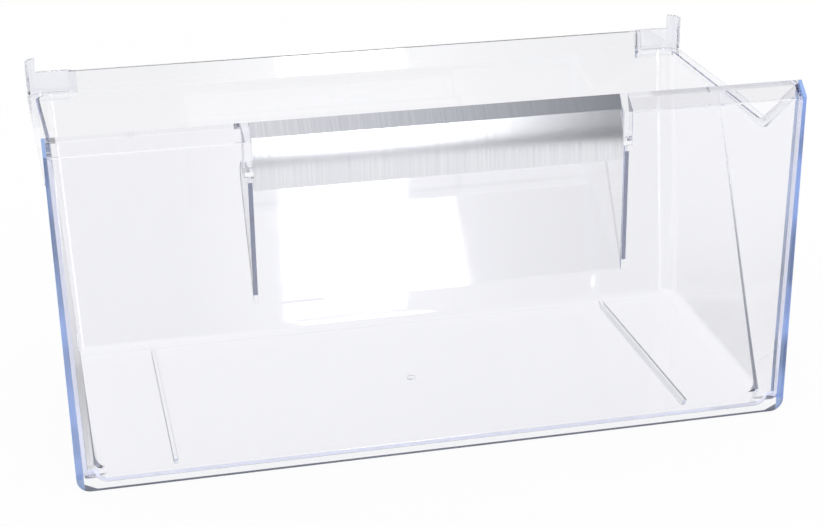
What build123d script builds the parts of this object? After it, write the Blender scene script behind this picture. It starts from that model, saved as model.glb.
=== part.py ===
"""Clear freezer drawer: a moulded tub, a front panel with a finger pocket, a grip bar and its metal trim.

Millimetres. +Z is up, +X is right and the front panel faces -Y. The origin is the middle of the
drawer's box, on the surface that it stands on.
"""
from build123d import *
import os
from math import hypot

os.makedirs("parts", exist_ok=True)

# ---- front panel -------------------------------------------------------------------------
panel_width = 430.0            # across the bottom
panel_width_top = 433.0        # the side edges open out a little upwards
panel_height = 208.4
panel_thickness = 3.0
panel_corner_radius = 8.0
brow_height = 8.2              # the top edge leans back over this height
brow_depth = 9.5
return_foot = 8.0              # the side returns start above the rounded corners
return_thickness_low = 4.2
return_thickness_top = 1.8
edge_round = 1.0               # front outline of the panel

# ---- grip bar and its trim ---------------------------------------------------------------
grip_width = 221.0
grip_height = 36.2             # from the panel's top down to the lip's lower edge
cheek_width = 4.8
grip_wall = 2.4
crease_drop = 7.2              # the lip's face turns back here, below the panel's top
crease_depth = 3.2
grip_bulge = 0.75              # how far the lip's face swells forward between its edges
grip_foot = 11.0               # reach of the foot over the pocket's roof
trim_thickness = 0.8
trim_hem = 2.6                 # the trim turns under the lip
glue_gap = 0.05
seat_gap = 0.2                 # bar to panel

# ---- finger pocket -----------------------------------------------------------------------
lip_side_gap = 0.6             # lip to the pocket's mouth, each side
lip_hang = 5.8                 # the lip hangs this far in front of the pocket's mouth
pocket_rise = 74.0
pocket_depth = 43.0
pocket_wall = 2.4
pocket_round = 8.0             # where the slanted back turns into the roof

# ---- tub: walls, each placed from the panel's outline or from the rearmost edge --------------
wall = 2.2
floor_thickness = 2.2
skid_height = 5.0
floor_inset = 10.3             # inside of the side wall at the floor, from the panel's edge
rim_inset = 8.0                # and at the rim, both beside the notch
rear_splay = 8.0               # and this much further out at the rearmost edge
flare_inset_low = 6.6          # inside of the side wall where it meets the panel, at the floor
flare_inset_top = 4.2          # and at the top of the panel
rear_reach = 228.0             # rearmost edge, from the panel's face
rear_foot_inset = 45.0         # the rear wall leans back, from this far inside that edge
rear_top_inset = 5.5
corner_radius = 9.0
floor_round = 6.0
crease_foot_depth = 17.0       # the side wall's crease starts near the front corner
crease_run = 98.0              # and leans back as far as this
crease_rise = 156.5            # over this height

# ---- tub: rim, rear corners, skids -------------------------------------------------------
rim_drop = 34.4                # level rim, below the panel's top
rim_knee_depth = 105.0         # here the level rim starts to dip
notch_depth = 54.0             # bottom of the V beside the panel
notch_dip = 1.8
notch_round = 12.0
rim_thickness = 2.5
rim_lip = 6.0
rim_lip_thickness = 2.0
rim_overhang_rear = 6.0        # outer edge of the rim, beyond the panel's top corners
rim_overhang_notch = 0.3
rim_inset_front = 0.9
rim_front_round = 0.5
rim_bend_round = 2.0
rear_corner_round = 9.0
rim_straight = 17.0            # the rim's side edge runs straight up to the rear corner
rear_rise = 13.4               # rear wall above the rim
step_inset = 23.0              # the rear wall steps out to the rim here
corner_wall_length = 10.0      # how far the raised corner runs along the side
tab_width = 6.4
tab_rise = 9.2                 # stop tab above the rear wall
bead_height = 10.5
bead_thickness = 1.0
skid_inset = 47.7              # skid to the side wall
skid_thickness = 2.4
skid_front = 16.0
skid_slope = 5.0
gate_depth = 92.0              # moulding gate under the floor, from the panel's face
gate_radius = 2.6
gate_height = 0.8

# ---- joint between tub and panel ---------------------------------------------------------
groove_depth = 0.8
joint_gap = 0.1
overrun = 4.0                  # shapes that get cut to size start out this much larger

front_y = -rear_reach / 2
brow_start = panel_height - brow_height
brow_slope = brow_height / brow_depth

grip_low = panel_height - grip_height
crease_height = panel_height - crease_drop
lip_back = trim_thickness + glue_gap + grip_wall
pocket_width = grip_width - 2 * cheek_width + 2 * lip_side_gap
pocket_roof = grip_low + lip_hang
pocket_bottom = pocket_roof - pocket_rise
roof_top = pocket_roof + pocket_wall

floor_top = skid_height + floor_thickness
form_top = panel_height + overrun
tub_front = panel_thickness - groove_depth + joint_gap
floor_depth = rear_reach - rear_foot_inset
crease_lean = crease_run / crease_rise
splay = rear_splay / (rear_reach - notch_depth)
rim_height = panel_height - rim_drop
rear_height = rim_height + rear_rise
rim_half_rear = panel_width_top / 2 + rim_overhang_rear
rim_half_notch = panel_width_top / 2 + rim_overhang_notch
rim_half_front = panel_width_top / 2 - rim_inset_front
step_half_width = panel_width_top / 2 - step_inset
skid_x = panel_width / 2 - floor_inset - skid_inset

plan_view = Plane(origin=(0, front_y, 0))
side_view = Plane(origin=(0, front_y, 0), x_dir=(0, 1, 0), z_dir=(1, 0, 0))
front_view = Plane(origin=(0, front_y, 0), x_dir=(1, 0, 0), z_dir=(0, -1, 0))


def along(z, low, high, at_low, at_high):
    """Value on the straight line through (low, at_low) and (high, at_high)."""
    return at_low + (at_high - at_low) * (z - low) / (high - low)


def panel_half_at(z):
    return along(z, 0, panel_height, panel_width / 2, panel_width_top / 2)


def side_at(z, depth):
    inset = along(z, floor_top, rim_height, floor_inset, rim_inset)
    return panel_half_at(z) - inset + splay * (depth - notch_depth)


def flare_at(z):
    return panel_half_at(z) - along(z, floor_top, panel_height, flare_inset_low, flare_inset_top)


def rear_at(z):
    return along(z, floor_top, rear_height, floor_depth, rear_reach - rear_top_inset)


def brow_under(depth):
    """Height of the underside of the panel's leaning top edge."""
    return brow_start + brow_slope * depth - panel_thickness * hypot(1, brow_slope)


def tub_form(skin, low, front):
    """Solid inside the tub's faces, moved out by skin, from the height low up."""
    low_rear, top_rear = rear_at(low) + skin, rear_at(form_top) + skin
    low_half, lean = side_at(low, front) + skin, side_at(1, 0) - side_at(0, 0)
    with BuildPart() as form:
        with BuildSketch(side_view):
            with BuildLine():
                Polyline(
                    (front, low), (low_rear, low), (top_rear, form_top), (front, form_top),
                    close=True,
                )
            make_face()
        extrude(amount=panel_width, both=True)
        for side in (1, -1):
            foot = (side * low_half, front_y + front, low)
            split(bisect_by=Plane(foot, z_dir=(side, -splay, -lean)), keep=Keep.BOTTOM)
        rear_face = form.faces().sort_by(Axis.Y)[-1]
        fillet(rear_face.edges().sort_by(Axis.X)[::3], radius=corner_radius + skin)
        bottom = form.faces().sort_by(Axis.Z)[0]
        fillet(bottom.edges().sort_by(Axis.Y)[1:], radius=floor_round + skin)
    with BuildPart() as flare:
        with BuildSketch(front_view.offset(-front)):
            with BuildLine():
                low_half, top_half = flare_at(low) + skin, flare_at(form_top) + skin
                Polyline(
                    (-low_half, low), (low_half, low), (top_half, form_top), (-top_half, form_top),
                    close=True,
                )
            make_face()
        low_depth = crease_foot_depth + crease_lean * (low - floor_top)
        top_depth = low_depth + crease_lean * (form_top - low)
        crease_foot = (0, front_y + low_depth, low)
        slant = hypot(1, crease_lean) * (form_top - low)
        with BuildSketch(Plane(crease_foot, x_dir=(1, 0, 0), z_dir=(0, -1, crease_lean))):
            with BuildLine():
                low_half = side_at(low, low_depth) + skin
                top_half = side_at(form_top, top_depth) + skin
                Polyline(
                    (-low_half, 0), (low_half, 0), (top_half, slant), (-top_half, slant),
                    close=True,
                )
            make_face()
        loft(ruled=True)
        base = flare.faces().sort_by(Axis.Z)[0]
        fillet(base.edges().filter_by(GeomType.LINE).sort_by(Axis.X)[::3], radius=floor_round + skin)
        add(form.part)
    return flare.part


def under_rim(drop):
    """Side view of all that lies below the rim's line, lowered by drop."""
    with BuildSketch(side_view) as area:
        behind = rear_reach + overrun
        climb = brow_depth + seat_gap
        with BuildLine():
            FilletPolyline(
                (behind, rim_height - drop),
                (rim_knee_depth, rim_height - drop),
                (notch_depth, rim_height - notch_dip - drop),
                (climb, brow_under(climb) - drop),
                radius=notch_round,
            )
            Polyline(
                (climb, brow_under(climb) - drop),
                (tub_front, brow_under(tub_front) - seat_gap - drop),
                (tub_front, 0),
                (behind, 0),
                (behind, rim_height - drop),
            )
        make_face()
    return area


def rim_plan():
    """Plan of the right-hand rim, out to its edge; the tub's inside is cut away later."""
    with BuildSketch(plan_view) as plan:
        with BuildLine():
            FilletPolyline(
                (step_half_width, brow_depth + seat_gap),
                (rim_half_front, brow_depth + seat_gap),
                (rim_half_notch, notch_depth),
                (rim_half_rear, rear_reach - rim_straight),
                (rim_half_rear, rear_reach),
                (step_half_width, rear_reach),
                radius=[rim_front_round, rim_bend_round, rim_bend_round, rear_corner_round],
            )
            Line((step_half_width, rear_reach), (step_half_width, brow_depth + seat_gap))
        make_face()
    return plan


# ---- drawer_tub: floor, sides, rear wall, rim, raised rear corners and skids ----------------
with BuildPart() as rim:
    extrude(rim_plan().sketch, amount=panel_height)
    extrude(under_rim(0).sketch, amount=panel_width, mode=Mode.INTERSECT)
    extrude(under_rim(rim_thickness).sketch, amount=panel_width, mode=Mode.SUBTRACT)

with BuildPart() as edge_strip:
    with BuildSketch(plan_view):
        add(rim_plan().sketch_local)
        offset(rim_plan().sketch_local, amount=-rim_lip_thickness, mode=Mode.SUBTRACT)
    extrude(amount=panel_height)

with BuildPart() as lip:
    add(edge_strip.part)
    extrude(under_rim(0).sketch, amount=panel_width, mode=Mode.INTERSECT)
    extrude(under_rim(rim_lip).sketch, amount=panel_width, mode=Mode.SUBTRACT)

with BuildPart() as raised_corner:
    with BuildSketch(side_view):
        with Locations((rear_reach, rim_height - rim_lip)):
            Rectangle(corner_wall_length, rear_rise + rim_lip, align=(Align.MAX, Align.MIN))
    extrude(amount=panel_width)
    with BuildSketch(front_view):
        with Locations((rim_half_rear, rim_height)):
            Rectangle(tab_width, rear_rise + tab_rise, align=(Align.MAX, Align.MIN))
    extrude(amount=-rear_reach)
    add(edge_strip.part, mode=Mode.INTERSECT)
    with BuildSketch(side_view):
        with Locations((0, 0)):
            Rectangle(rear_reach - corner_wall_length, panel_height, align=Align.MIN)
    extrude(amount=panel_width, mode=Mode.SUBTRACT)

with BuildPart() as above_rim:
    with BuildSketch(side_view):
        with Locations((0, 0)):
            Rectangle(2 * rear_reach, 2 * panel_height, align=(Align.MIN, Align.MIN))
        add(under_rim(0).sketch_local, mode=Mode.SUBTRACT)
    extrude(amount=panel_width, both=True)
    with BuildSketch(front_view):
        Rectangle(2 * step_half_width, rear_height, align=(Align.CENTER, Align.MIN))
    extrude(amount=-2 * rear_reach, mode=Mode.SUBTRACT)

with BuildPart() as bead:
    add(tub_form(wall + bead_thickness, skid_height, tub_front))
    with BuildSketch(front_view.offset(-floor_depth)):
        with Locations((0, rear_height)):
            Rectangle(2 * step_half_width, bead_height, align=(Align.CENTER, Align.MAX))
    extrude(amount=-floor_depth, mode=Mode.INTERSECT)

with BuildPart() as skid:
    with BuildSketch(side_view.offset(skid_x)):
        with BuildLine():
            Polyline(
                (skid_front, floor_top),
                (skid_front + skid_slope, 0),
                (floor_depth - skid_slope, 0),
                (floor_depth, floor_top),
                close=True,
            )
        make_face()
    extrude(amount=skid_thickness / 2, both=True)

with BuildPart() as drawer_tub:
    add(tub_form(wall, skid_height, tub_front))
    add(above_rim.part, mode=Mode.SUBTRACT)
    add(bead.part)
    add([rim.part, lip.part, raised_corner.part, skid.part])
    mirror([rim.part, lip.part, raised_corner.part, skid.part], about=Plane.YZ)
    add(tub_form(0, floor_top, tub_front), mode=Mode.SUBTRACT)
    with BuildSketch(plan_view.offset(skid_height)):
        with Locations((0, gate_depth)):
            Circle(gate_radius)
    extrude(amount=-gate_height)

# ---- front_panel: face, leaning brow, side returns and finger pocket ------------------------
with BuildPart() as side_return:
    with BuildSketch(front_view):
        with BuildLine():
            low_edge = panel_half_at(return_foot)
            top_edge = panel_half_at(panel_height)
            Polyline(
                (low_edge - return_thickness_low, return_foot),
                (low_edge, return_foot),
                (top_edge, panel_height),
                (top_edge - return_thickness_top, panel_height),
                close=True,
            )
        make_face()
    extrude(amount=-brow_depth)
    with BuildSketch(side_view):
        with BuildLine():
            Polyline(
                (edge_round, 0),
                (edge_round, brow_start + brow_slope * edge_round),
                (brow_depth, panel_height),
                (brow_depth, 0),
                close=True,
            )
        make_face()
    extrude(amount=panel_width, mode=Mode.INTERSECT)

with BuildSketch(side_view) as pocket_space:
    with BuildLine():
        Polyline(
            (0, pocket_bottom), (pocket_depth, pocket_roof), (0, pocket_roof), close=True
        )
    make_face()
    back_corner = pocket_space.vertices().sort_by(Axis.X)[-1]
    fillet(back_corner, radius=pocket_round)

with BuildPart() as pocket_shell:
    with BuildSketch(side_view):
        add(pocket_space.sketch_local)
        offset(amount=pocket_wall, kind=Kind.INTERSECTION)
    extrude(amount=pocket_width / 2 + pocket_wall, both=True)
    split(bisect_by=front_view, keep=Keep.BOTTOM)

with BuildPart() as groove:
    add(tub_form(wall + joint_gap, skid_height - joint_gap, tub_front - joint_gap))
    add(tub_form(-joint_gap, floor_top + joint_gap, tub_front - joint_gap), mode=Mode.SUBTRACT)
    split(bisect_by=front_view.offset(-panel_thickness), keep=Keep.TOP)

with BuildPart() as front_panel:
    with BuildSketch(front_view) as outline:
        with BuildLine():
            low_edge, top_edge = panel_half_at(0), panel_half_at(panel_height)
            Polyline(
                (-low_edge, 0), (low_edge, 0), (top_edge, panel_height), (-top_edge, panel_height),
                close=True,
            )
        make_face()
        fillet(outline.vertices().group_by(Axis.Y)[0], radius=panel_corner_radius)
    extrude(amount=-brow_depth)
    face_edges = front_panel.faces().sort_by(Axis.Y)[0].edges()
    fillet(face_edges.sort_by(Axis.Z)[:-1], radius=edge_round)
    with BuildSketch(side_view):
        with BuildLine():
            Polyline(
                (0, 0),
                (0, brow_start),
                (brow_depth, panel_height),
                (brow_depth, brow_under(brow_depth)),
                (panel_thickness, brow_under(panel_thickness)),
                (panel_thickness, 0),
                close=True,
            )
        make_face()
    extrude(amount=panel_width, both=True, mode=Mode.INTERSECT)
    add([side_return.part, pocket_shell.part])
    mirror(side_return.part, about=Plane.YZ)
    extrude(pocket_space.sketch, amount=pocket_width / 2, both=True, mode=Mode.SUBTRACT)
    with BuildSketch(front_view):
        with Locations((0, roof_top)):
            Rectangle(grip_width + 2 * seat_gap, panel_height, align=(Align.CENTER, Align.MIN))
    extrude(amount=-rear_reach, mode=Mode.SUBTRACT)
    with BuildSketch(front_view):
        with Locations((0, grip_low - seat_gap)):
            Rectangle(
                pocket_width, roof_top - grip_low + 2 * seat_gap, align=(Align.CENTER, Align.MIN)
            )
    lip_lean = along(roof_top, grip_low, crease_height, 0, crease_depth)
    extrude(amount=-(lip_back + lip_lean + seat_gap), mode=Mode.SUBTRACT)
    add([groove.part, drawer_tub.part], mode=Mode.SUBTRACT)


# ---- grip_bar and grip_trim: the lip that fingers pull, and the metal wrapped over it ----------
def lip_face(inset, thickness):
    """Side view of one layer of the lip, lying inset behind the trim's outer face."""
    with BuildSketch(side_view) as layer:
        with BuildLine(mode=Mode.PRIVATE) as outer:
            swell = ThreePointArc(
                (0, grip_low),
                (crease_depth / 2 - grip_bulge, (grip_low + crease_height) / 2),
                (crease_depth, crease_height),
            )
            Line(swell @ 1, (brow_depth, panel_height))
        with BuildLine():
            if inset:
                offset(outer.line, amount=inset, side=Side.RIGHT, closed=False)
            else:
                add(outer.line)
            offset(amount=thickness, side=Side.RIGHT, kind=Kind.INTERSECTION)
        make_face()
    return layer.sketch


cheek_inner = grip_width / 2 - cheek_width
trim_half_width = cheek_inner - glue_gap

with BuildPart() as grip_trim:
    extrude(lip_face(0, trim_thickness), amount=trim_half_width, both=True)
    with BuildSketch(side_view):
        with Locations((0, grip_low)):
            Rectangle(trim_hem, trim_thickness, align=Align.MIN)
    extrude(amount=trim_half_width, both=True)

with BuildPart() as grip_bar:
    extrude(lip_face(trim_thickness + glue_gap, grip_wall), amount=cheek_inner, both=True)
    with BuildSketch(side_view):
        with Locations((0, grip_low + trim_thickness + glue_gap)):
            Rectangle(brow_depth, grip_wall, align=(Align.MIN, Align.MAX))
    extrude(amount=cheek_inner, both=True, mode=Mode.SUBTRACT)
    with BuildSketch(side_view):
        with Locations((lip_back - grip_wall / 2, roof_top + joint_gap)):
            Rectangle(grip_foot, grip_wall, align=Align.MIN)
    extrude(amount=grip_width / 2, both=True)
    with BuildSketch(side_view.offset(cheek_inner)) as cheek:
        with BuildLine():
            Polyline(
                (0, roof_top + joint_gap),
                (0, brow_start),
                (brow_depth, panel_height),
                (brow_depth, roof_top + joint_gap),
                close=True,
            )
        make_face()
    end_cheek = extrude(amount=cheek_width)
    mirror(end_cheek, about=Plane.YZ)

for name, piece in (
    ("drawer_tub", drawer_tub),
    ("front_panel", front_panel),
    ("grip_bar", grip_bar),
    ("grip_trim", grip_trim),
):
    piece.part.label = name
    export_step(piece.part, f"parts/{name}.step")
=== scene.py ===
"""Clear freezer drawer in a plain white studio.

The moulded tub, the front panel and the grip bar are clear polystyrene with a faint blue cast,
and the strip over the grip is brushed aluminium. Metres, +Z up, the front panel faces -Y.
"""
import math

import bmesh
import bpy
from bpy.props import (
    FloatProperty, FloatVectorProperty, IntProperty, PointerProperty, StringProperty,
)
from mathutils import Matrix, Vector


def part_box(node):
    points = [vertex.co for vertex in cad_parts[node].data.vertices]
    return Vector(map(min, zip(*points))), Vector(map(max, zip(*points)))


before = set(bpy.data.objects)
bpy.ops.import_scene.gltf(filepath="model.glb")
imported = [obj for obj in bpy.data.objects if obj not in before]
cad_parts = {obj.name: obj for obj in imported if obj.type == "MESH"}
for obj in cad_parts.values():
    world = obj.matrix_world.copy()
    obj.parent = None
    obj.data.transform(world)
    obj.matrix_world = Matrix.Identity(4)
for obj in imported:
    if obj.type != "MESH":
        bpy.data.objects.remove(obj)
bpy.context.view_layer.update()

bl_info = {
    "name": "Clear Freezer Drawer",
    "version": (1, 0, 0),
    "blender": (4, 5, 0),
    "location": "View3D > Sidebar > Drawer",
    "description": "Dresses a clear freezer drawer and sets up its studio",
    "category": "Object",
}

WHITE = (1.0, 1.0, 1.0, 1.0)

MM = 0.001
BEYOND = 1.0  # further out than any piece reaches

# Places on the clear walls where light and shade are painted, as the photograph shows it:
# a painted glow where light would leave them, and painted shade and a faint painted cover where
# it would be held up in them.
FACE_DEPTH = 0.3 * MM  # the panel's front face lies within this of its foremost point
EDGE_AT_FOOT = 5.8 * MM  # how far the panel's lit edge reaches in from its widest, at its foot
EDGE_AT_TOP = 2.0 * MM  # and at its top
FOOT_HEIGHT = 0.8 * MM  # the panel's bottom edge between its corners
FOOT_CORNER = 13 * MM  # the rounded corner, measured in from the panel's widest
FOOT_RISE = 0.5  # how steeply the bottom edge climbs there
CHEEK_ACROSS = (106.5 * MM, 109.0 * MM)  # the pocket's end walls, from the middle outwards
CHEEK_HEIGHT = (111 * MM, 177 * MM)
SEAM_DEPTH = 0.85 * MM  # the tub's front end, a little more than sits in the panel's groove
CORNER_DEPTH = 22 * MM  # the thick rear corners of the rim
CORNER_WIDTH = 32 * MM
CORNER_HEIGHT = 31 * MM
CREASE_SLOPE = 0.626  # how far back the fold of a side wall runs for each metre up
CREASE_PLACE = -101.5 * MM  # depth of the fold's line at height zero
CREASE_WIDTH = 1.3 * MM  # to each side of its line
CREASE_START = 8.3 * MM  # just above the floor
CREASE_FADE = (30 * MM, 150 * MM)  # heights from its full colour to none
CREASE_ACROSS = 185 * MM  # the side walls lie further out than this

PATCH_SIZE = 38 * MM  # of the haze that handling leaves
PATCH_SHARE = (0.45, 0.8)  # noise from no haze to full haze
EDGE_SHARE = (0.38, 0.6)  # noise from dull to bright stretches of an edge
STROKE_SHARE = (0.3, 0.7)  # noise from the lines to the metal between them
LINE_ROUGHNESS = 0.03  # added in the brushed lines
LINE_DEPTH = 0.0004 * MM

TABLE_HALF = (0.561, 1.7)  # half its width and depth in metres
TABLE_DROP = 0.3 * MM  # under the drawer's rest face
TABLE_COLOUR = "#f6f6f7"
TABLE_WHITE = 0.94  # how much of the plain view of the table is pure white

# The room that gloss mirrors, by the parts of a ray's direction to the right, up and back, and
# its colours by the share of the way from left to right.
ROOM_ACROSS = (-0.5, 0.5)
ROOM_UP = (0.35, 0.75)  # from the wall to the ceiling
ROOM_BACK = (-0.1, 0.15)  # from wall and ceiling in front of the drawer to white behind it
CEILING_COLOURS = (
    (0.60, "#ffffff"), (0.66, "#f4f5fa"), (0.72, "#ccced6"),
    (0.78, "#acadb5"), (0.84, "#4c4e56"), (1.0, "#44464e"),
)
WALL_COLOURS = (
    (0.4, "#606168"), (0.57, "#6c6d74"), (0.63, "#ecedf2"),
    (0.71, "#ebecf1"), (0.76, "#8e8f95"), (0.82, "#1e1f22"),
)
SENSOR_WIDTH = 36.0  # millimetres

# Sockets of a Mix node that blends colours, where several share a name.
MIX_SHARE, MIX_FIRST, MIX_SECOND, MIX_RESULT = 0, 6, 7, 2


# ---- helpers ---------------------------------------------------------------------------------
def linear(hex_colour):
    """Linear RGBA of an sRGB hex colour such as #8090a0."""
    channels = [int(hex_colour[i : i + 2], 16) / 255 for i in (1, 3, 5)]
    return tuple(
        c / 12.92 if c <= 0.04045 else ((c + 0.055) / 1.055) ** 2.4 for c in channels
    ) + (1.0,)


def add_node(tree, kind, inputs=None, stops=(), **settings):
    """Adds a node, sets its properties, fills or links its inputs and sets a ramp's stops."""
    node = tree.nodes.new(kind)
    for name, value in settings.items():
        setattr(node, name, value)
    for name, value in (inputs or {}).items():
        if isinstance(value, bpy.types.NodeSocket):
            tree.links.new(value, node.inputs[name])
        else:
            node.inputs[name].default_value = value
    elements = node.color_ramp.elements if stops else []
    while len(elements) < len(stops):
        elements.new(0.5)
    for element, (position, hex_colour) in zip(elements, stops):
        element.position, element.color = position, linear(hex_colour)
    return node


def new_material(name):
    """An empty node material with its output and the piece's own coordinates."""
    material = bpy.data.materials.new(name)
    material.use_nodes = True
    tree = material.node_tree
    tree.nodes.clear()
    output = add_node(tree, "ShaderNodeOutputMaterial")
    place = add_node(tree, "ShaderNodeTexCoord").outputs["Object"]
    return material, tree, output, place


def dress(node_name, material):
    """Gives a CAD node its material."""
    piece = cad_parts[node_name]
    if not piece.material_slots:
        piece.data.materials.append(material)
    for slot in piece.material_slots:
        slot.material = material


def seen_directly(tree):
    """One for what the eye sees plainly or straight through a clear wall, and not mirrored."""
    rays = add_node(tree, "ShaderNodeLightPath").outputs
    seen = add_node(
        tree, "ShaderNodeMath",
        {0: rays["Is Camera Ray"], 1: rays["Is Transmission Ray"]}, operation="MAXIMUM",
    ).outputs["Value"]
    unmirrored = add_node(
        tree, "ShaderNodeMath", {0: rays["Glossy Depth"], 1: 0.5}, operation="LESS_THAN"
    ).outputs["Value"]
    return add_node(
        tree, "ShaderNodeMath", {0: seen, 1: unmirrored}, operation="MULTIPLY"
    ).outputs["Value"]


# ---- settings --------------------------------------------------------------------------------
class DrawerPlastic(bpy.types.PropertyGroup):
    """Clear polystyrene, injection moulded in a polished tool."""

    pass_colour: StringProperty(
        name="Colour in the Depth", description="sRGB hex that a thick stretch lets through",
        default="#0079d7",
    )
    tint_density: FloatProperty(
        name="Tint Density", description="How fast the plastic takes up red light, per metre",
        default=1.2, min=0,
    )
    face_colour: StringProperty(
        name="Face Colour", description="sRGB hex that one wall lets through", default="#fcfcfe",
    )
    # Painted blue glow and colour at the panel's side edges, for light run along inside
    edge_glow_colour: StringProperty(
        name="Edge Colour", description="sRGB hex of the light that leaves at the panel's edge",
        default="#8ea6d0",
    )
    # Cover of the painted glow at the side edges and of the painted shade on the bottom edge
    edge_glow_and_foot_shade_cover: FloatProperty(
        name="Edge Cover", description="How much of the view that light covers",
        default=0.8, min=0, max=1, subtype="FACTOR",
    )
    # Strengths of the painted glow at the side edges, where bright and where dull
    edge_glow_strength: FloatProperty(
        name="Edge Light", description="Strength of that light where it is strong",
        default=0.42, min=0,
    )
    edge_glow_dull: FloatProperty(
        name="Edge Dull", description="Strength of that light where it is weak",
        default=0.12, min=0,
    )
    # Painted shade on the panel's bottom edge
    foot_shade_colour: StringProperty(
        name="Foot Colour", description="sRGB hex of the panel's bottom edge", default="#7e869c",
    )
    # Painted pale glow at the tub's front end, for light run along the floor and leaving there
    seam_glow_colour: StringProperty(
        name="Seam Colour", description="sRGB hex of the welded seam at the front of the tub",
        default="#e6e8f5",
    )
    seam_glow_cover: FloatProperty(
        name="Seam Cover", description="How much of the view the seam covers",
        default=0.7, min=0, max=1, subtype="FACTOR",
    )
    seam_glow_strength: FloatProperty(
        name="Seam Light", description="Strength of the light that leaves at the seam",
        default=0.4, min=0,
    )
    # Faint near-white cover painted over the thick rear corners, for light held up in them
    rim_painted_colour: StringProperty(
        name="Rim Colour", description="sRGB hex of the thick rear corners of the rim",
        default="#f5f6fb",
    )
    rim_painted_cover: FloatProperty(
        name="Rim Cover", description="How much of the view the rear corners cover",
        default=0.08, min=0, max=1, subtype="FACTOR",
    )
    # Painted shade along the fold of each side wall, where the fold bends the view
    crease_shade_colour: StringProperty(
        name="Crease Colour", description="sRGB hex of the fold in each side wall",
        default="#ccd0e2",
    )
    crease_shade_cover: FloatProperty(
        name="Crease Cover", description="How much of the view the fold covers at its foot",
        default=0.75, min=0, max=1, subtype="FACTOR",
    )
    # Painted shade on the pocket's cheeks, seen along their depth
    cheek_shade_colour: StringProperty(
        name="Cheek Colour", description="sRGB hex of the pocket's cheeks, seen along their depth",
        default="#70758c",
    )
    cheek_shade_cover: FloatProperty(
        name="Cheek Cover", description="How much of the view the cheeks cover",
        default=0.6, min=0, max=1, subtype="FACTOR",
    )
    # Length of the brighter and duller stretches of the painted glow
    edge_glow_wave: FloatProperty(
        name="Edge Wave", description="Length of the brighter and duller stretches",
        default=34 * MM, unit="LENGTH",
    )
    ior: FloatProperty(name="Refractive Index", description="Of polystyrene", default=1.59, min=1)
    roughness: FloatProperty(
        name="Roughness", description="Of the moulded gloss",
        default=0.02, min=0, max=1, subtype="FACTOR",
    )
    haze: FloatProperty(
        name="Handling Haze", description="Roughness added in faint patches", default=0.035, min=0,
    )
    flow_length: FloatProperty(
        name="Flow Wave Length", description="Of the slow waves in the moulded face",
        default=90 * MM, unit="LENGTH",
    )
    flow_height: FloatProperty(
        name="Flow Wave Height", description="Of the slow waves in the moulded face",
        default=0.05 * MM, unit="LENGTH",
    )


class DrawerTrim(bpy.types.PropertyGroup):
    """Aluminium strip, brushed across its length and clear anodised."""

    colour: StringProperty(
        name="Colour", description="sRGB hex of the clean metal", default="#e8e9ec",
    )
    line_colour: StringProperty(
        name="Line Colour", description="sRGB hex in the brushed lines", default="#dedfe3",
    )
    roughness: FloatProperty(
        name="Roughness", description="Between the lines",
        default=0.18, min=0, max=1, subtype="FACTOR",
    )
    streak: FloatProperty(
        name="Streak", description="How far reflections spread along the strip only",
        default=0.6, min=0, max=1, subtype="FACTOR",
    )
    line_spacing: FloatProperty(
        name="Line Spacing", description="Brush lines, drawn coarser than the real 0.2 mm",
        default=0.9 * MM, unit="LENGTH",
    )
    line_length: FloatProperty(
        name="Line Length", description="Length of one brush stroke",
        default=45 * MM, unit="LENGTH",
    )


class DrawerStudio(bpy.types.PropertyGroup):
    """White table, a room that gloss mirrors, a tall softbox and the photograph's camera."""

    camera_place: FloatVectorProperty(
        name="Camera", description="Place of the lens", subtype="TRANSLATION", unit="LENGTH",
        size=3, default=(-0.2153, -1.0068, 0.4821),
    )
    camera_yaw: FloatProperty(
        name="Turn", description="To the right of the drawer's depth", unit="ROTATION",
        default=math.radians(12.425),
    )
    camera_pitch: FloatProperty(
        name="Tilt", description="Down from the horizon", unit="ROTATION",
        default=math.radians(21.551),
    )
    camera_roll: FloatProperty(
        name="Roll", description="Of the camera about its view", unit="ROTATION",
        default=math.radians(-0.855),
    )
    lens: FloatProperty(
        name="Focal Length", description="In millimetres", default=76.0, unit="CAMERA",
    )
    softbox_foot: FloatVectorProperty(
        name="Softbox Foot", description="Middle of its lower edge", subtype="TRANSLATION",
        unit="LENGTH", size=3, default=(0.475, -3.0, 0.08),
    )
    softbox_head: FloatVectorProperty(
        name="Softbox Head", description="Middle of its upper edge", subtype="TRANSLATION",
        unit="LENGTH", size=3, default=(0.475, -2.0, 2.0),
    )
    softbox_width: FloatProperty(
        name="Softbox Width", description="Of the tall softbox", default=0.305, unit="LENGTH",
    )
    softbox_power: FloatProperty(
        name="Softbox Power", description="In watts", default=10.0, min=0, unit="POWER",
    )
    bounces: IntProperty(
        name="Bounces", description="Turns that light may take inside the clear walls", default=64,
    )
    room_light: FloatProperty(
        name="Room Light", description="Strength of the even light on matt surfaces", default=1.0,
    )


# ---- zones of the clear pieces ---------------------------------------------------------------
def within(tree, *spans):
    """One where each value lies in its span from lowest to highest, else zero."""
    share = 1.0
    for value, lowest, highest in spans:
        inside = add_node(
            tree, "ShaderNodeMath",
            {0: value, 1: (lowest + highest) / 2, 2: (highest - lowest) / 2}, operation="COMPARE",
        ).outputs["Value"]
        share = add_node(
            tree, "ShaderNodeMath", {0: share, 1: inside}, operation="MULTIPLY"
        ).outputs["Value"]
    return share


def leaning(tree, value, other, slope):
    """The value less slope times the other, which stays the same along a leaning line."""
    return add_node(
        tree, "ShaderNodeMath", {0: other, 1: -slope, 2: value}, operation="MULTIPLY_ADD"
    ).outputs["Value"]


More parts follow.
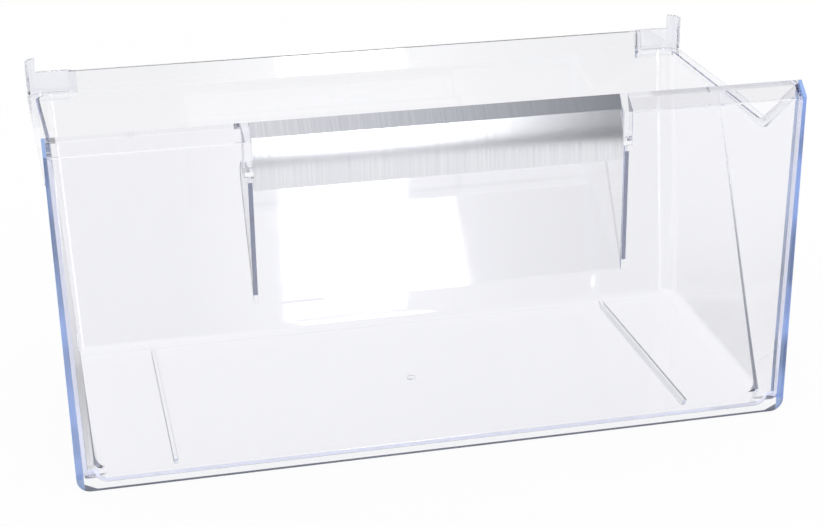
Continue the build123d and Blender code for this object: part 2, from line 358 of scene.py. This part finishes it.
# Each mask below is one in its zone and zero outside. It takes sockets with the distance from the
# middle plane, the depth and the height, and the lowest and highest corners of the piece.
def panel_edge_glow(tree, across, depth, height, low, high):
    """The panel's side edges and the returns behind them, where a blue glow is painted."""
    slope = (EDGE_AT_FOOT - EDGE_AT_TOP) / (high.z - low.z)
    edge_start = high.x - EDGE_AT_FOOT - slope * low.z
    return within(
        tree,
        (leaning(tree, across, height, slope), edge_start, BEYOND),
        (depth, low.y + FACE_DEPTH, BEYOND),
    )


def panel_foot_shade(tree, across, depth, height, low, high):
    """The panel's bottom edge, which climbs into the rounded corners, where shade is painted."""
    past_corner = add_node(
        tree, "ShaderNodeMath", {0: across, 1: high.x - FOOT_CORNER}, operation="SUBTRACT"
    ).outputs["Value"]
    into_corner = add_node(
        tree, "ShaderNodeMath", {0: past_corner, 1: 0.0}, operation="MAXIMUM"
    ).outputs["Value"]
    return within(
        tree,
        (leaning(tree, height, into_corner, FOOT_RISE), -BEYOND, low.z + FOOT_HEIGHT),
        (across, -BEYOND, high.x - EDGE_AT_FOOT),
        (depth, low.y + FACE_DEPTH, BEYOND),
    )


def pocket_cheek_shade(tree, across, depth, height, low, high):
    """The front ends of the finger pocket's two end walls, where shade is painted."""
    return within(
        tree, (across, *CHEEK_ACROSS), (height, *CHEEK_HEIGHT), (depth, -BEYOND, low.y + FACE_DEPTH)
    )


def tub_seam_glow(tree, across, depth, height, low, high):
    """The front end of the tub, which sits in the panel's groove, where a pale glow is painted."""
    return within(tree, (depth, -BEYOND, low.y + SEAM_DEPTH))


def tub_rim_painted(tree, across, depth, height, low, high):
    """The thick rear corners of the rim with their stop tabs, where a faint near-white cover is
    painted.
    """
    return within(
        tree,
        (depth, high.y - CORNER_DEPTH, BEYOND),
        (across, high.x - CORNER_WIDTH, BEYOND),
        (height, high.z - CORNER_HEIGHT, BEYOND),
    )


def wall_crease_shade(tree, across, depth, height, low, high):
    """The slanted fold of each side wall, where a line of shade is painted, fading towards the rim.
    """
    fold = within(
        tree,
        (
            leaning(tree, depth, height, CREASE_SLOPE),
            CREASE_PLACE - CREASE_WIDTH, CREASE_PLACE + CREASE_WIDTH,
        ),
        (height, CREASE_START, BEYOND),
        (across, CREASE_ACROSS, BEYOND),
    )
    fade = add_node(
        tree, "ShaderNodeMapRange",
        {
            "Value": height, "From Min": CREASE_FADE[0], "From Max": CREASE_FADE[1],
            "To Min": 1.0, "To Max": 0.0,
        },
    ).outputs["Result"]
    return add_node(
        tree, "ShaderNodeMath", {0: fold, 1: fade}, operation="MULTIPLY"
    ).outputs["Value"]


# ---- materials -------------------------------------------------------------------------------
def add_zones(tree, plastic, place, settings, box, zones):
    """Paints light and shade on parts of a clear piece: a painted colour hides the view behind
    them, and some of them glow with painted light.

    Each zone gives its mask, its painted colour, how much of the view it covers, and the
    strength of its painted glow, where dull and where bright. At most one zone of a piece glows.
    """
    point = add_node(tree, "ShaderNodeSeparateXYZ", {"Vector": place}).outputs
    across = add_node(
        tree, "ShaderNodeMath", {0: point["X"]}, operation="ABSOLUTE"
    ).outputs["Value"]
    colour, clear = linear(settings.face_colour), 1.0
    for mask_of, hex_colour, cover, dull, bright in zones:
        mask = mask_of(tree, across, point["Y"], point["Z"], *box)
        # Painted colour of the zone, over the plastic's own face colour
        colour = add_node(
            tree, "ShaderNodeMix",
            {MIX_SHARE: mask, MIX_FIRST: colour, MIX_SECOND: linear(hex_colour)},
            data_type="RGBA",
        ).outputs[MIX_RESULT]
        # The painted colour hides this much of the view behind
        clear = add_node(
            tree, "ShaderNodeMath", {0: mask, 1: -cover, 2: clear}, operation="MULTIPLY_ADD"
        ).outputs["Value"]
        # Painted glow: emission in the zone's colour, in brighter and duller stretches
        if bright:
            stretches = add_node(
                tree, "ShaderNodeTexNoise",
                {"Vector": place, "Scale": 1 / settings.edge_glow_wave, "Detail": 1.5},
            ).outputs["Fac"]
            strength = add_node(
                tree, "ShaderNodeMapRange",
                {
                    "Value": stretches, "From Min": EDGE_SHARE[0], "From Max": EDGE_SHARE[1],
                    "To Min": dull, "To Max": bright,
                },
            ).outputs["Result"]
            light = add_node(
                tree, "ShaderNodeMath", {0: mask, 1: strength}, operation="MULTIPLY"
            ).outputs["Value"]
            plastic.inputs["Emission Color"].default_value = linear(hex_colour)
            tree.links.new(light, plastic.inputs["Emission Strength"])
    tree.links.new(colour, plastic.inputs["Base Color"])
    tree.links.new(clear, plastic.inputs["Transmission Weight"])


def clear_polystyrene(name, settings, box=None, zones=()):
    """Injection-moulded clear polystyrene.

    It is nearly colourless through a wall, with a faint blue toner in its depth. Where light
    would run along inside and leave at an edge, a blue glow and colour are painted in the zones
    that are given. Its gloss is that of a polished tool, with slow waves from the flow of the
    melt and a faint haze from handling.
    """
    material, tree, output, place = new_material(name)
    flow = add_node(
        tree, "ShaderNodeTexNoise",
        {"Vector": place, "Scale": 1 / settings.flow_length, "Detail": 1.0},
    ).outputs["Fac"]
    waves = add_node(
        tree, "ShaderNodeBump",
        {"Height": flow, "Strength": 1.0, "Distance": settings.flow_height},
    ).outputs["Normal"]
    patches = add_node(
        tree, "ShaderNodeTexNoise", {"Vector": place, "Scale": 1 / PATCH_SIZE, "Detail": 4.0},
    ).outputs["Fac"]
    roughness = add_node(
        tree, "ShaderNodeMapRange",
        {
            "Value": patches, "From Min": PATCH_SHARE[0], "From Max": PATCH_SHARE[1],
            "To Min": settings.roughness, "To Max": settings.roughness + settings.haze,
        },
    ).outputs["Result"]
    plastic = add_node(
        tree, "ShaderNodeBsdfPrincipled",
        {
            "Base Color": linear(settings.face_colour), "Roughness": roughness,
            "IOR": settings.ior, "Transmission Weight": 1.0, "Normal": waves,
        },
    )
    if zones:
        add_zones(tree, plastic, place, settings, box, zones)
    tint = add_node(
        tree, "ShaderNodeVolumeAbsorption",
        {"Color": linear(settings.pass_colour), "Density": settings.tint_density},
    )
    tree.links.new(plastic.outputs["BSDF"], output.inputs["Surface"])
    tree.links.new(tint.outputs["Volume"], output.inputs["Volume"])
    return material


def brushed_aluminium(name, settings):
    """Aluminium sheet, brushed across the strip's length and clear anodised.

    The strokes spread each reflection along the strip, and show as fine upright lines.
    """
    material, tree, output, place = new_material(name)
    along = 1 / settings.line_length
    stretched = add_node(
        tree, "ShaderNodeMapping",
        {"Vector": place, "Scale": (1 / settings.line_spacing, along, along)},
    ).outputs["Vector"]
    strokes = add_node(
        tree, "ShaderNodeTexNoise", {"Vector": stretched, "Scale": 1.0, "Detail": 3.0},
    ).outputs["Fac"]
    metal_colour = add_node(
        tree, "ShaderNodeValToRGB", {"Fac": strokes},
        [(STROKE_SHARE[0], settings.line_colour), (STROKE_SHARE[1], settings.colour)],
    ).outputs["Color"]
    roughness = add_node(
        tree, "ShaderNodeMapRange",
        {
            "Value": strokes, "From Min": STROKE_SHARE[0], "From Max": STROKE_SHARE[1],
            "To Min": settings.roughness + LINE_ROUGHNESS, "To Max": settings.roughness,
        },
    ).outputs["Result"]
    grooves = add_node(
        tree, "ShaderNodeBump", {"Height": strokes, "Strength": 1.0, "Distance": LINE_DEPTH},
    ).outputs["Normal"]
    along_strip = add_node(tree, "ShaderNodeCombineXYZ", {"X": 1.0}).outputs["Vector"]
    metal = add_node(
        tree, "ShaderNodeBsdfPrincipled",
        {
            "Base Color": metal_colour, "Metallic": 1.0, "Roughness": roughness,
            "Anisotropic": settings.streak, "Normal": grooves, "Tangent": along_strip,
        },
    )
    tree.links.new(metal.outputs["BSDF"], output.inputs["Surface"])
    return material


# ---- operators -------------------------------------------------------------------------------
class DRAWER_OT_tub(bpy.types.Operator):
    """Dress the moulded tub"""

    bl_idname = "drawer.tub"
    bl_label = "Tub"

    def execute(self, context):
        settings = context.scene.drawer_plastic
        light = settings.seam_glow_strength
        # Painted glow at the seam, a faint painted cover at the rear corners, painted shade along
        # the folds
        zones = [
            (tub_seam_glow, settings.seam_glow_colour, settings.seam_glow_cover, light, light),
            (tub_rim_painted, settings.rim_painted_colour, settings.rim_painted_cover, 0, 0),
            (wall_crease_shade, settings.crease_shade_colour, settings.crease_shade_cover, 0, 0),
        ]
        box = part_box("drawer_tub")
        dress("drawer_tub", clear_polystyrene("moulded_polystyrene_tub", settings, box, zones))
        return {"FINISHED"}


class DRAWER_OT_panel(bpy.types.Operator):
    """Dress the front panel with its finger pocket"""

    bl_idname = "drawer.panel"
    bl_label = "Front Panel"

    def execute(self, context):
        settings = context.scene.drawer_plastic
        # Painted shade on the cheeks and the bottom edge, and a painted blue glow at the side edges
        zones = [
            (pocket_cheek_shade, settings.cheek_shade_colour, settings.cheek_shade_cover, 0, 0),
            (panel_foot_shade, settings.foot_shade_colour, settings.edge_glow_and_foot_shade_cover, 0, 0),
            (panel_edge_glow, settings.edge_glow_colour, settings.edge_glow_and_foot_shade_cover,
             settings.edge_glow_dull, settings.edge_glow_strength),
        ]
        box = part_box("front_panel")
        dress("front_panel", clear_polystyrene("moulded_polystyrene_panel", settings, box, zones))
        return {"FINISHED"}


class DRAWER_OT_grip(bpy.types.Operator):
    """Dress the grip bar and the metal strip over it"""

    bl_idname = "drawer.grip"
    bl_label = "Grip Bar and Trim"

    def execute(self, context):
        scene = context.scene
        dress("grip_bar", clear_polystyrene("moulded_polystyrene_grip", scene.drawer_plastic))
        dress("grip_trim", brushed_aluminium("brushed_aluminium", scene.drawer_trim))
        return {"FINISHED"}


class DRAWER_OT_stage(bpy.types.Operator):
    """Set the white table, the room, the softbox and the camera"""

    bl_idname = "drawer.stage"
    bl_label = "Studio"

    def execute(self, context):
        scene = context.scene
        settings = scene.drawer_studio
        self.table(scene)
        self.room(scene, settings)
        self.softbox(scene, settings)
        self.camera(scene, settings)
        scene.view_settings.view_transform = "Standard"
        light_paths = scene.cycles
        light_paths.max_bounces = settings.bounces
        light_paths.transmission_bounces = settings.bounces
        light_paths.glossy_bounces = settings.bounces
        return {"FINISHED"}

    def table(self, scene):
        """A matt table just under the drawer, seen as nearly pure white with its shadow."""
        mesh = bpy.data.meshes.new("table")
        shape = bmesh.new()
        bmesh.ops.create_grid(shape, x_segments=1, y_segments=1, size=1.0)
        bmesh.ops.scale(shape, verts=shape.verts, vec=(*TABLE_HALF, 1))
        bmesh.ops.translate(shape, verts=shape.verts, vec=(0, 0, -TABLE_DROP))
        shape.to_mesh(mesh)
        shape.free()
        table = bpy.data.objects.new("table", mesh)
        scene.collection.objects.link(table)
        material, tree, output, _ = new_material("white_table")
        share = add_node(
            tree, "ShaderNodeMath", {0: seen_directly(tree), 1: TABLE_WHITE}, operation="MULTIPLY"
        )
        matt = add_node(tree, "ShaderNodeBsdfDiffuse", {"Color": linear(TABLE_COLOUR)})
        white = add_node(tree, "ShaderNodeEmission", {"Color": WHITE, "Strength": 1.0})
        mix = add_node(
            tree, "ShaderNodeMixShader",
            {0: share.outputs["Value"], 1: matt.outputs["BSDF"], 2: white.outputs["Emission"]},
        )
        tree.links.new(mix.outputs["Shader"], output.inputs["Surface"])
        mesh.materials.append(material)

    def room(self, scene, settings):
        """White where seen directly, even light on matt surfaces, and a room for mirrors.

        Gloss and metal mirror a wall and a ceiling that have a bright part and are dark to the
        right.
        """
        world = bpy.data.worlds.new("room")
        world.use_nodes = True
        scene.world = world
        tree = world.node_tree
        tree.nodes.clear()
        rays = add_node(tree, "ShaderNodeLightPath").outputs
        way = add_node(tree, "ShaderNodeTexCoord").outputs["Generated"]
        toward = add_node(tree, "ShaderNodeSeparateXYZ", {"Vector": way}).outputs
        rightward = add_node(
            tree, "ShaderNodeMapRange",
            {"Value": toward["X"], "From Min": ROOM_ACROSS[0], "From Max": ROOM_ACROSS[1]},
        ).outputs["Result"]
        ceiling = add_node(
            tree, "ShaderNodeValToRGB", {"Fac": rightward}, CEILING_COLOURS
        ).outputs["Color"]
        wall = add_node(
            tree, "ShaderNodeValToRGB", {"Fac": rightward}, WALL_COLOURS
        ).outputs["Color"]
        upward = add_node(
            tree, "ShaderNodeMapRange",
            {"Value": toward["Z"], "From Min": ROOM_UP[0], "From Max": ROOM_UP[1]},
        ).outputs["Result"]
        front = add_node(
            tree, "ShaderNodeMix",
            {MIX_SHARE: upward, MIX_FIRST: wall, MIX_SECOND: ceiling}, data_type="RGBA",
        ).outputs[MIX_RESULT]
        behind = add_node(
            tree, "ShaderNodeMapRange",
            {"Value": toward["Y"], "From Min": ROOM_BACK[0], "From Max": ROOM_BACK[1]},
        ).outputs["Result"]
        around = add_node(
            tree, "ShaderNodeMix",
            {MIX_SHARE: behind, MIX_FIRST: front, MIX_SECOND: WHITE}, data_type="RGBA",
        ).outputs[MIX_RESULT]
        mirrored = add_node(tree, "ShaderNodeBackground", {"Color": around, "Strength": 1.0})
        even = add_node(
            tree, "ShaderNodeBackground", {"Color": WHITE, "Strength": settings.room_light}
        )
        glossy = add_node(
            tree, "ShaderNodeMath",
            {0: rays["Is Glossy Ray"], 1: rays["Is Transmission Ray"]}, operation="MAXIMUM",
        ).outputs["Value"]
        lit = add_node(
            tree, "ShaderNodeMixShader",
            {0: glossy, 1: even.outputs["Background"], 2: mirrored.outputs["Background"]},
        )
        white = add_node(tree, "ShaderNodeBackground", {"Color": WHITE, "Strength": 1.0})
        mix = add_node(
            tree, "ShaderNodeMixShader",
            {0: seen_directly(tree), 1: lit.outputs["Shader"], 2: white.outputs["Background"]},
        )
        output = add_node(tree, "ShaderNodeOutputWorld")
        tree.links.new(mix.outputs["Shader"], output.inputs["Surface"])

    def softbox(self, scene, settings):
        """A tall softbox in front of the drawer, which leans towards it."""
        foot, head = Vector(settings.softbox_foot), Vector(settings.softbox_head)
        lamp = bpy.data.lights.new("softbox", "AREA")
        lamp.shape = "RECTANGLE"
        lamp.size = settings.softbox_width
        lamp.size_y = (head - foot).length
        lamp.energy = settings.softbox_power
        softbox = bpy.data.objects.new("softbox", lamp)
        scene.collection.objects.link(softbox)
        up = (head - foot).normalized()
        across = Vector((1, 0, 0))
        facing_away = across.cross(up)
        turn = Matrix((across, up, facing_away)).transposed()
        softbox.matrix_world = Matrix.Translation((foot + head) / 2) @ turn.to_4x4()

    def camera(self, scene, settings):
        """The photograph's camera."""
        lens = bpy.data.cameras.new("camera")
        lens.lens = settings.lens
        lens.sensor_width = SENSOR_WIDTH
        camera = bpy.data.objects.new("camera", lens)
        scene.collection.objects.link(camera)
        turn = (
            Matrix.Rotation(-settings.camera_yaw, 3, "Z")
            @ Matrix.Rotation(math.pi / 2 - settings.camera_pitch, 3, "X")
            @ Matrix.Rotation(settings.camera_roll, 3, "Z")
        )
        camera.matrix_world = Matrix.Translation(settings.camera_place) @ turn.to_4x4()
        scene.camera = camera


class DRAWER_PT_panel(bpy.types.Panel):
    """Drawer pieces and studio"""

    bl_idname = "DRAWER_PT_panel"
    bl_label = "Freezer Drawer"
    bl_space_type = "VIEW_3D"
    bl_region_type = "UI"
    bl_category = "Drawer"

    def draw(self, context):
        scene = context.scene
        for operator in OPERATORS:
            self.layout.operator(operator.bl_idname)
        for settings in (scene.drawer_plastic, scene.drawer_trim, scene.drawer_studio):
            column = self.layout.column(align=True)
            for name in settings.__annotations__:
                column.prop(settings, name)


OPERATORS = (DRAWER_OT_tub, DRAWER_OT_panel, DRAWER_OT_grip, DRAWER_OT_stage)
CLASSES = (DrawerPlastic, DrawerTrim, DrawerStudio, *OPERATORS, DRAWER_PT_panel)


def register():
    """Adds the settings, the operators and the panel."""
    for cls in CLASSES:
        bpy.utils.register_class(cls)
    bpy.types.Scene.drawer_plastic = PointerProperty(type=DrawerPlastic)
    bpy.types.Scene.drawer_trim = PointerProperty(type=DrawerTrim)
    bpy.types.Scene.drawer_studio = PointerProperty(type=DrawerStudio)


def unregister():
    """Takes them away again."""
    del bpy.types.Scene.drawer_studio
    del bpy.types.Scene.drawer_trim
    del bpy.types.Scene.drawer_plastic
    for cls in reversed(CLASSES):
        bpy.utils.unregister_class(cls)


def main():
    """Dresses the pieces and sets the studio."""
    register()
    bpy.ops.drawer.tub()
    bpy.ops.drawer.panel()
    bpy.ops.drawer.grip()
    bpy.ops.drawer.stage()


if __name__ == "__main__":
    main()
